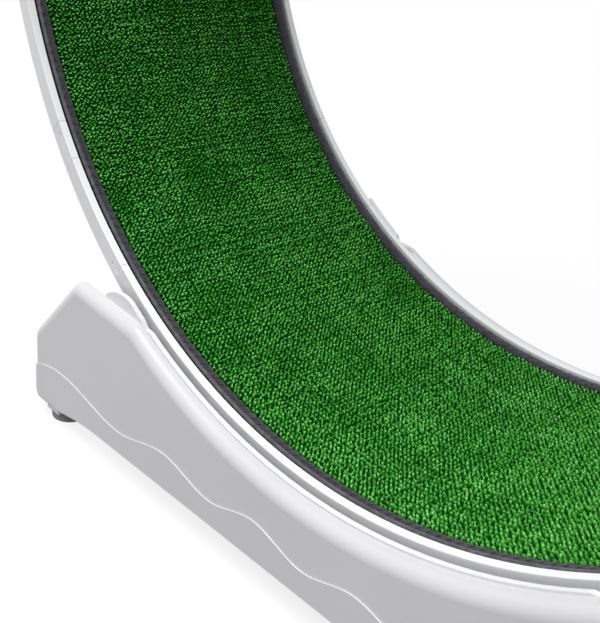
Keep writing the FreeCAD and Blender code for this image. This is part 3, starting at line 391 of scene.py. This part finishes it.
def new_piece(name, vertices, faces, material):
    """A smooth mesh piece from arrays of points and quads."""
    mesh = bpy.data.meshes.new(name)
    mesh.vertices.add(len(vertices))
    mesh.vertices.foreach_set("co", np.ascontiguousarray(vertices, dtype=np.float32).ravel())
    faces = np.ascontiguousarray(faces, dtype=np.int32)
    sides = faces.shape[1]
    mesh.loops.add(faces.size)
    mesh.loops.foreach_set("vertex_index", faces.ravel())
    mesh.polygons.add(len(faces))
    mesh.polygons.foreach_set("loop_start", np.arange(0, faces.size, sides, dtype=np.int32))
    mesh.polygons.foreach_set("loop_total", np.full(len(faces), sides, dtype=np.int32))
    mesh.update(calc_edges=True)
    mesh.validate()
    mesh.polygons.foreach_set("use_smooth", np.full(len(mesh.polygons), True, dtype=bool))
    mesh.materials.append(material)
    piece = bpy.data.objects.new(name, mesh)
    bpy.context.scene.collection.objects.link(piece)
    return piece


def on_wheel(angle, depth, radius):
    """Points of the model from an angle (0 along +X, turning up), a depth and a radius."""
    return np.stack([AXIS.x + radius * np.cos(angle), AXIS.y + depth + 0 * angle,
                     AXIS.z + radius * np.sin(angle)], axis=-1)


def ring_piece(name, section, steps, material, wobble=None):
    """A closed ring from a section of (depth, radius) points; wobble moves them by angle."""
    section = np.array(section)
    width = len(section)
    turns = np.linspace(0, 2 * math.pi, steps, endpoint=False)
    angle = np.repeat(turns[:, None], width, axis=1)
    depth = np.repeat(section[None, :, 0], steps, axis=0)
    radius = np.repeat(section[None, :, 1], steps, axis=0)
    if wobble is not None:
        shift_depth, shift_radius = wobble(angle, depth, radius)
        depth, radius = depth + shift_depth, radius + shift_radius
    points = on_wheel(angle, depth, radius).reshape(-1, 3)
    step, place = np.meshgrid(np.arange(steps), np.arange(width), indexing="ij")
    ahead, beside = (step + 1) % steps, (place + 1) % width
    faces = np.stack([step * width + place, step * width + beside, ahead * width + beside,
                      ahead * width + place], axis=-1).reshape(-1, 4)
    return new_piece(name, points, faces, material)


def tube_faces(rings, sides):
    """Quads of an open tube of rings, each with the same number of sides."""
    ring, side = np.meshgrid(np.arange(rings - 1), np.arange(sides), indexing="ij")
    beside = (side + 1) % sides
    return np.stack([ring * sides + side, (ring + 1) * sides + side, (ring + 1) * sides + beside,
                     ring * sides + beside], axis=-1).reshape(-1, 4)


def many_tubes(count, rings, sides):
    """Quads of a number of such tubes, whose points follow one another."""
    first = np.arange(count)[:, None, None] * (rings * sides)
    return (tube_faces(rings, sides)[None] + first).reshape(-1, 4)


def mirrored(half, side):
    """A section drawn for the rear edge, for the side that is asked for."""
    return [(side * depth, radius) for depth, radius in half]


def ease(part):
    """A share from 0 to 1 that starts and ends gently."""
    return part * part * (3 - 2 * part)


# ---- pile ---------------------------------------------------------------------------

PILE_EDGE = MAT_EDGE + 0.0006           # as far as a loop may lean out
PILE_SECTORS = 12
ROW_PITCH = 0.00435                     # between rows of loops, round the wheel
LOOP_PITCH = 0.00460                    # between loops in a row, across the mat
LOOP_HEIGHT = 0.0062
LOW_LOOP = 0.00105                      # how much lower the loops between the rows are
LOOP_SPAN = 0.00095                     # half the way between a loop's two feet
LOOP_YARN = 0.00088                     # half the yarn's thickness
LOOP_ROOT = 0.0004                      # how far a loop's feet stand in front of the mat's back
LOOP_OVER = 0.0003                      # how far a tip may stand over the mat's inner face
LOOP_SIDES = 4
LOOP_BEND = 0.45                        # how far the yarn leans in at its shoulders, in radians
RING_PLACE = np.array([-1.0, -1.0, 0.0, 1.0, 1.0])      # each ring's place, in half spans
RING_RISE = np.array([0.0, 0.70, 1.0, 0.70, 0.0])       # and its share of the height
RING_TILT = np.array([0.0, LOOP_BEND, math.pi / 2, math.pi - LOOP_BEND, math.pi])

# How unevenly the loops stand: what is called drift changes slowly from patch to patch.
PATCH = 0.030                           # size of a patch
PATCHES_ACROSS = 3                      # at the least
CLEAR_DRIFT = 0.5                       # of how clearly the rows, or the columns, stand apart
PLACE_DRIFT = 0.0005
LINE_SHIFT = 0.00022                    # of a whole row or column
LOOP_SHIFT, CLEAR_SHIFT = 0.00050, 0.00036      # of one loop, and what of it a clear row takes away
HEIGHT_DRIFT, LINE_HEIGHT, OWN_HEIGHT = 0.00025, 0.00018, 0.00045
SPAN_SPREAD, CLEAR_SPAN = 0.00012, 0.00022
LEAN_SPREAD = 0.00045
YARN_FULL, YARN_SPREAD, CLEAR_YARN = 1.04, 0.08, 0.10


def drift(shape, cells, spread):
    """A smooth random field over rows and columns, closed round the wheel."""
    coarse = rng.normal(0, spread, cells)
    row = np.arange(shape[0]) * cells[0] / shape[0]
    column = np.linspace(0, cells[1] - 1.001, shape[1])     # stays short of the last cell
    row_low, column_low = row.astype(int), column.astype(int)
    row_part = ease((row - row_low)[:, None])
    column_part = ease((column - column_low)[None, :])

    def eased_across(line):
        left, right = coarse[np.ix_(line, column_low)], coarse[np.ix_(line, column_low + 1)]
        return left * (1 - column_part) + right * column_part

    return eased_across(row_low) * (1 - row_part) + eased_across((row_low + 1) % cells[0]) * row_part


def loop_grid():
    """Angle and depth of every loop, and whether it stands between the rows."""
    rows = round(2 * math.pi * MAT_RADIUS / ROW_PITCH / PILE_SECTORS) * PILE_SECTORS
    across = int(2 * MAT_EDGE / LOOP_PITCH)
    row, column = np.meshgrid(np.arange(rows), np.arange(2 * across), indexing="ij")
    between = column % 2
    angle = (row + 0.5 * between) * (2 * math.pi / rows)
    depth = (column / 2 - (across - 0.5) / 2) * LOOP_PITCH
    return angle, depth, between


def loop_surface(turn, height, half_span, lean_across, lean_along, yarn):
    """Points of the yarn's rings in every loop: across the mat, round the wheel and towards the axis."""
    cosine, sine = np.cos(turn)[..., None], np.sin(turn)[..., None]
    place = RING_PLACE * half_span[..., None]
    rise = RING_RISE * (height - yarn)[..., None]
    middle_across = place * cosine + lean_across[..., None] * RING_RISE
    middle_along = place * sine + lean_along[..., None] * RING_RISE
    sides = np.arange(LOOP_SIDES) * (2 * math.pi / LOOP_SIDES) + math.pi / 4
    in_plane, square_to_it = np.cos(sides), np.sin(sides)
    level = -in_plane * np.cos(RING_TILT)[:, None]
    upward = in_plane * np.sin(RING_TILT)[:, None]
    cosine, sine, yarn = cosine[..., None], sine[..., None], yarn[..., None, None]
    return (middle_across[..., None] + yarn * (level * cosine - square_to_it * sine),
            middle_along[..., None] + yarn * (level * sine + square_to_it * cosine),
            rise[..., None] + yarn * upward)


def make_pile(material):
    """Rows of arched yarn loops on the backing, in sectors round the wheel."""
    angle, depth, between = loop_grid()
    shape = angle.shape
    by_row, by_column = (shape[0], 1), (1, shape[1])
    cells = (round(2 * math.pi * MAT_RADIUS / PATCH), max(PATCHES_ACROSS, round(2 * MAT_EDGE / PATCH)))
    row_clear = np.clip(0.5 + drift(shape, cells, CLEAR_DRIFT), 0, 1)       # 1: the rows stand apart
    column_clear = np.clip(0.5 + drift(shape, cells, CLEAR_DRIFT), 0, 1)

    def shifted(line, clear):
        return (drift(shape, cells, PLACE_DRIFT) + rng.normal(0, LINE_SHIFT, line)
                + rng.normal(0, 1, shape) * (LOOP_SHIFT - CLEAR_SHIFT * clear))

    along = shifted(by_row, row_clear)
    across = depth + shifted(by_column, column_clear)
    turn = rng.uniform(-math.pi / 2, math.pi / 2, shape)
    height = (LOOP_HEIGHT - LOW_LOOP * between + drift(shape, cells, HEIGHT_DRIFT)
              + rng.normal(0, LINE_HEIGHT, by_row) + rng.normal(0, LINE_HEIGHT, by_column)
              + rng.normal(0, OWN_HEIGHT, shape))
    half_span = LOOP_SPAN + rng.normal(0, SPAN_SPREAD, shape) - CLEAR_SPAN * column_clear
    lean_along = rng.normal(0, LEAN_SPREAD, shape)
    lean_across = rng.normal(0, LEAN_SPREAD, shape)
    yarn = LOOP_YARN * (YARN_FULL + rng.normal(0, YARN_SPREAD, shape) - CLEAR_YARN * row_clear)

    u, v, w = loop_surface(turn, height, half_span, lean_across, lean_along, yarn)
    full_depth = np.clip(across[..., None, None] + u, -PILE_EDGE, PILE_EDGE)
    full_radius = np.clip(MAT_BACK - LOOP_ROOT - w, MAT_RADIUS - LOOP_OVER, MAT_BACK)
    full_angle = angle[..., None, None] + (along[..., None, None] + v) / MAT_RADIUS
    points = on_wheel(full_angle, full_depth, full_radius)
    pieces = []
    for sector, rows in enumerate(np.split(points, PILE_SECTORS)):
        loops = rows.shape[0] * rows.shape[1]
        faces = many_tubes(loops, len(RING_PLACE), LOOP_SIDES)
        pieces.append(new_piece(f"carpet_pile_{sector + 1:02d}", rows.reshape(-1, 3), faces, material))
    return pieces


# ---- backing ------------------------------------------------------------------------

BACKING_THICKNESS = 0.0012
BACKING_STEPS = 360


def make_backing():
    """The thin woven ring that carries the loops."""
    front = MAT_BACK - BACKING_THICKNESS
    section = [(-MAT_EDGE, front), (0.0, front), (MAT_EDGE, front),
               (MAT_EDGE, MAT_BACK), (0.0, MAT_BACK), (-MAT_EDGE, MAT_BACK)]
    return ring_piece("carpet_backing", section, BACKING_STEPS, backing_material())


# ---- binding tapes ------------------------------------------------------------------

STITCH_PITCH = 0.0090
EDGE_ROLL = 0.0017                      # radius of the sewn-over roll along the mat's outer edge
ROLL_SINK = 0.0001                      # of the roll under the mat's inner face
ROLL_EDGE = BINDING_EDGE - 0.0010
FOOT_EDGE = BINDING_EDGE + 0.0014
FOOT_TOP, FOOT_TOP_EDGE = MAT_BACK - 0.0010, MAT_BACK - 0.0006
TAPE_STEPS, ROLL_STEPS, FOOT_STEPS = 1440, 2880, 360

TAPE_FACE = MAT_RADIUS + 0.0008
TAPE_TUCK = 1.6                         # where the tape ends under the roll, in radii from its edge
EDGE_BAND = 0.001                       # what of the tape counts as its edge, or its back
TAPE_SOFT = 0.0012                      # size of the tape's rounded corners
PUCKER, PUCKER_REACH = 0.0008, 0.008    # depth of a pucker, and how far from the roll it is full
PUCKER_SLANT, RIPPLE_SLANT = 90, 300    # radians for each metre of depth
RIPPLE, RIPPLE_BEATS = 0.25, 4.6
LOBE_TOP = 1.1                          # the lobe's height at which the tape isn't pulled in
SCALLOP = 0.0009                        # of the tape's inner edge
RIB_PITCH, RIB, SWELL = 0.0011, 0.00012, 0.00015

THREAD = 0.00038                        # half the thread's width
THREAD_FLAT = 0.6                       # its thickness, as a share of its width
THREAD_SIDES, STITCH_RINGS = 5, 6
STITCH_RISE, STITCH_SINK = 0.0006, 0.0010
STITCH_INSET = 0.0010                   # from the tape's inner edge to the zigzag's turn
THREAD_OVER = 0.0002                    # how far the thread may stand over the mat's inner face


def tape_section(side):
    """A flat tape, from the pile to the roll at the edge."""
    inner, outer = BINDING_INNER, ROLL_EDGE - TAPE_TUCK * EDGE_ROLL
    middle = (inner + outer) / 2
    corners = [(inner, 0, 1.6), (inner, 0.3, 0.7), (inner, 1, 0.2), (inner, 2.2, 0), (middle, 0, 0.1),
               (outer, -2.0, 0.2), (outer, -0.8, 0.6), (outer, 0, 1.0)]
    half = [(inner, MAT_BACK)]
    half += [(start + inward * TAPE_SOFT, TAPE_FACE + sink * TAPE_SOFT) for start, inward, sink in corners]
    half.append((outer, MAT_BACK))
    return mirrored(half, side)


def tape_wobble(angle, depth, radius):
    """Puckers where the stitches pull the tape in."""
    beat = angle * MAT_RADIUS / STITCH_PITCH * math.pi
    lobe = (np.abs(np.sin(beat + depth * PUCKER_SLANT))
            + RIPPLE * np.sin(beat * RIPPLE_BEATS + depth * RIPPLE_SLANT))
    reach = np.clip((ROLL_EDGE - np.abs(depth)) / PUCKER_REACH, 0, 1)
    on_edge = np.abs(depth) < BINDING_INNER + EDGE_BAND
    on_face = radius < MAT_BACK - EDGE_BAND
    return (-SCALLOP * np.abs(np.sin(beat)) * np.sign(depth) * on_edge,
            np.where(on_face, PUCKER * reach * (LOBE_TOP - lobe), 0))


def roll_section(side):
    """The thread-covered roll along the outer edge, cut back under its widest place."""
    middle_depth, middle_radius = ROLL_EDGE - EDGE_ROLL, MAT_RADIUS + EDGE_ROLL + ROLL_SINK
    turns = [math.radians(turn) for turn in range(-180, 91, 30)]
    half = [(middle_depth + EDGE_ROLL * math.cos(turn), middle_radius + EDGE_ROLL * math.sin(turn))
            for turn in turns]
    half += [(middle_depth, FOOT_TOP), (middle_depth - EDGE_ROLL, FOOT_TOP)]
    return mirrored(half, side)


def roll_wobble(angle, depth, radius):
    """Ribs of thread round the roll, fuller at every stitch."""
    rib = np.sin(angle * MAT_RADIUS / RIB_PITCH * 2 * math.pi)
    swell = np.sin(angle * MAT_RADIUS / STITCH_PITCH * 2 * math.pi)
    on_top = radius < MAT_RADIUS + EDGE_ROLL
    return 0 * depth, np.where(on_top, RIB * (1 + rib) + SWELL * (1 + swell), 0)


def foot_section(side):
    """The mat's backing, which runs on under the roll towards the rim, coloured near black as a painted shadow in
    the gap by the rim.
    """
    start = ROLL_EDGE - 2 * EDGE_ROLL
    return mirrored([(start, FOOT_TOP), (FOOT_EDGE, FOOT_TOP_EDGE), (FOOT_EDGE, MAT_BACK), (start, MAT_BACK)],
                    side)


def make_stitches(side, material, name):
    """Zigzag thread over the tape: each stitch is a short flattened arch of thread."""
    count = int(2 * math.pi * MAT_RADIUS / STITCH_PITCH)
    near, far = BINDING_INNER + STITCH_INSET, ROLL_EDGE - 2 * EDGE_ROLL
    index = np.arange(2 * count)
    start_angle, end_angle = index * (math.pi / count), (index + 1) * (math.pi / count)
    start_depth = np.where(index % 2 == 0, near, far) * side
    end_depth = np.where(index % 2 == 0, far, near) * side
    share = np.linspace(0, 1, STITCH_RINGS)
    middle_angle = start_angle[:, None] + (end_angle - start_angle)[:, None] * share
    middle_depth = start_depth[:, None] + (end_depth - start_depth)[:, None] * share
    along, across = (end_angle - start_angle) * MAT_RADIUS, end_depth - start_depth
    length = np.hypot(along, across)
    square_along, square_across = (-across / length)[:, None, None], (along / length)[:, None, None]
    sides = np.arange(THREAD_SIDES) * (2 * math.pi / THREAD_SIDES)
    angle = middle_angle[..., None] + THREAD * np.cos(sides) * square_along / MAT_RADIUS
    depth = middle_depth[..., None] + THREAD * np.cos(sides) * square_across
    rise = STITCH_RISE * np.sin(math.pi * share) ** 0.5
    height = STITCH_SINK - rise[None, :, None] - THREAD_FLAT * THREAD * np.sin(sides)
    radius = MAT_RADIUS + height + 0 * angle
    points = on_wheel(angle, depth, np.maximum(radius, MAT_RADIUS - THREAD_OVER)).reshape(-1, 3)
    return new_piece(name, points, many_tubes(len(index), STITCH_RINGS, THREAD_SIDES), material)


def make_bindings():
    # The roll is lighter than the tape: partly the serged thread's own colour, partly a painted highlight on the
    # proud roll and painted shade on the sunken tape.
    tape = tape_material("binding_tape", (0.014, 0.012, 0.021), (0.046, 0.040, 0.060))
    edge = tape_material("binding_edge", (0.060, 0.060, 0.068), (0.120, 0.120, 0.132))
    thread = tape_material("binding_thread", (0.035, 0.031, 0.046), (0.065, 0.060, 0.082))
    # painted shadow: near-black colour for the dark gap between the binding and the rim
    under = rubber("binding_painted_shadow", (0.004, 0.004, 0.005), 0.9)
    pieces = []
    for side, end in ((-1, "front"), (1, "rear")):
        flat = ring_piece(f"{end}_binding", tape_section(side), TAPE_STEPS, tape, tape_wobble)
        roll = ring_piece(f"{end}_binding_roll", roll_section(side), ROLL_STEPS, edge, roll_wobble)
        foot = ring_piece(f"{end}_binding_painted_shadow", foot_section(side), FOOT_STEPS, under)
        stitches = make_stitches(side, thread, f"{end}_binding_stitches")
        for piece in (flat, roll, foot, stitches):
            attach(piece, "wheel")
            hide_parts(f"{end}_binding_tape")
            pieces.append(piece)
    return pieces


# ---- fastening strips under the mat -------------------------------------------------

STRIP_SPACING, STRIP_WIDTH, STRIP_SELVEDGE = 0.100, 0.025, 0.002
STRIP_INNER, STRIP_OUTER = MAT_BACK + 0.0003, MAT_BACK + 0.0009
HOOK_RISE = 0.0002
STRIP_STEPS = 720


def make_fastening_strips():
    """Three hook-and-loop tapes: a woven band with a raised field of hooks between its selvedges."""
    material = tape_material("fastening_tape", (0.010, 0.010, 0.012), (0.030, 0.030, 0.034))
    edge, field = STRIP_WIDTH / 2, STRIP_WIDTH / 2 - STRIP_SELVEDGE
    low = STRIP_INNER + HOOK_RISE
    section = [(-edge, low), (-field, low), (-field + HOOK_RISE, STRIP_INNER),
               (field - HOOK_RISE, STRIP_INNER), (field, low), (edge, low),
               (edge, STRIP_OUTER), (-edge, STRIP_OUTER)]
    pieces = []
    for number in (1, 2, 3):
        middle = (number - 2) * STRIP_SPACING
        placed = [(middle + depth, radius) for depth, radius in section]
        strip = ring_piece(f"fastening_strip_{number}", placed, STRIP_STEPS, material)
        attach(strip, "wheel")
        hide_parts("mat_fastening_strips")
        pieces.append(strip)
    return pieces


def make_mat():
    """The carpet: a backing with loop pile on its inner side, bound along both edges."""
    back = make_backing()
    pile = make_pile(pile_material())
    for piece in [back] + pile:
        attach(piece, "wheel")
        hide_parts("carpet_mat")
    others = pile + make_bindings() + make_fastening_strips()


# ---- everything ---------------------------------------------------------------------

bpy.context.scene.view_settings.view_transform = "Standard"
make_camera()
make_world()
make_floor()
make_lamp()
dress_frame()
make_mat()
